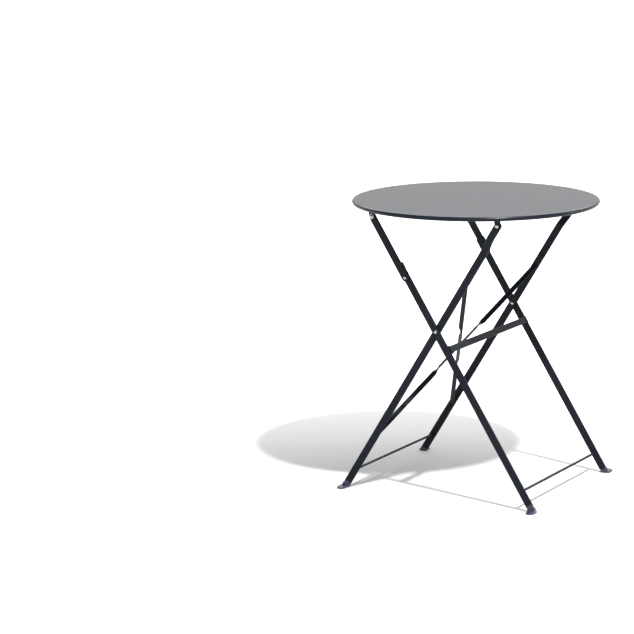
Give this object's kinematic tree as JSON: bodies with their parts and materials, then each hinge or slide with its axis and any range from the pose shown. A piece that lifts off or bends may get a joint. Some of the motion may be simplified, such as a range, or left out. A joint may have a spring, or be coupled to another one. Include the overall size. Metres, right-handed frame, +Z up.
{
  "type": "folding bistro table",
  "caption": "Round steel bistro table that folds flat: a sheet top with a rolled rim on crossed flat-bar leg frames, with knee links that lock it open.",
  "frame": {"origin": "on the floor under the centre of the top", "axes": "+Z up; +X towards the outer frame's feet, the way the legs open; +Y along the pivots, towards the back"},
  "size_m": [0.6, 0.6, 0.703],
  "materials": {
    "top_paint": "satin",
    "frame_paint": "satin",
    "zinc_plate": "gloss",
    "spacer_nylon": "matte",
    "shoe_plastic": "satin"
  },
  "bodies": {
    "inner_frame": {"inner_leg_front": "frame_paint", "inner_leg_back": "frame_paint", "brace_strap_a": "frame_paint", "brace_strap_b": "frame_paint", "inner_foot_rod": "frame_paint", "inner_shoe_front": "shoe_plastic", "inner_shoe_back": "shoe_plastic", "cross_rivet_front": "zinc_plate", "cross_rivet_back": "zinc_plate", "cross_spacer_front": "spacer_nylon", "cross_spacer_back": "spacer_nylon"},
    "outer_frame": {"outer_leg_front": "frame_paint", "outer_leg_back": "frame_paint", "outer_crossbar": "frame_paint", "outer_foot_rod": "frame_paint", "outer_shoe_front": "shoe_plastic", "outer_shoe_back": "shoe_plastic", "knee_rivet_tail_front": "zinc_plate", "knee_rivet_tail_back": "zinc_plate"},
    "top": {"table_top": "top_paint", "hinge_rail_left": "frame_paint", "hinge_rail_right": "frame_paint", "left_rivet_front": "zinc_plate", "left_rivet_back": "zinc_plate", "left_washer_front": "zinc_plate", "left_washer_back": "zinc_plate", "right_rivet_front": "zinc_plate", "right_rivet_back": "zinc_plate"},
    "knee_link_front_body": {"knee_link_front": "frame_paint", "knee_rivet_front": "zinc_plate", "knee_spacer_front": "spacer_nylon"},
    "knee_link_back_body": {"knee_link_back": "frame_paint", "knee_rivet_back": "zinc_plate", "knee_spacer_back": "spacer_nylon"}
  },
  "joints": [
    {"name": "leg_cross_pivot", "type": "hinge", "parent": "inner_frame", "child": "outer_frame", "pos_m": [0, 0, 0.411], "axis": [0, 1, 0], "range_deg": [0, 60.99]},
    {"name": "top_hinge", "type": "hinge", "parent": "inner_frame", "child": "top", "pos_m": [0.1665, 0, 0.6775], "axis": [0, -1, 0], "range_deg": [0, 52.61]},
    {"name": "front_link_hinge", "type": "hinge", "parent": "top", "child": "knee_link_front_body", "pos_m": [-0.1665, -0.2159, 0.6775], "axis": [0, -1, 0], "range_deg": [0, 55.26]},
    {"name": "back_link_hinge", "type": "hinge", "parent": "top", "child": "knee_link_back_body", "pos_m": [-0.1665, 0.2159, 0.6775], "axis": [0, -1, 0], "range_deg": [0, 55.26]}
  ],
  "couplings": [
    {"joint": "top_hinge", "follows": "leg_cross_pivot", "ratio": 0.86258},
    {"joint": "front_link_hinge", "follows": "leg_cross_pivot", "ratio": 0.90602},
    {"joint": "back_link_hinge", "follows": "leg_cross_pivot", "ratio": 0.90602}
  ]
}
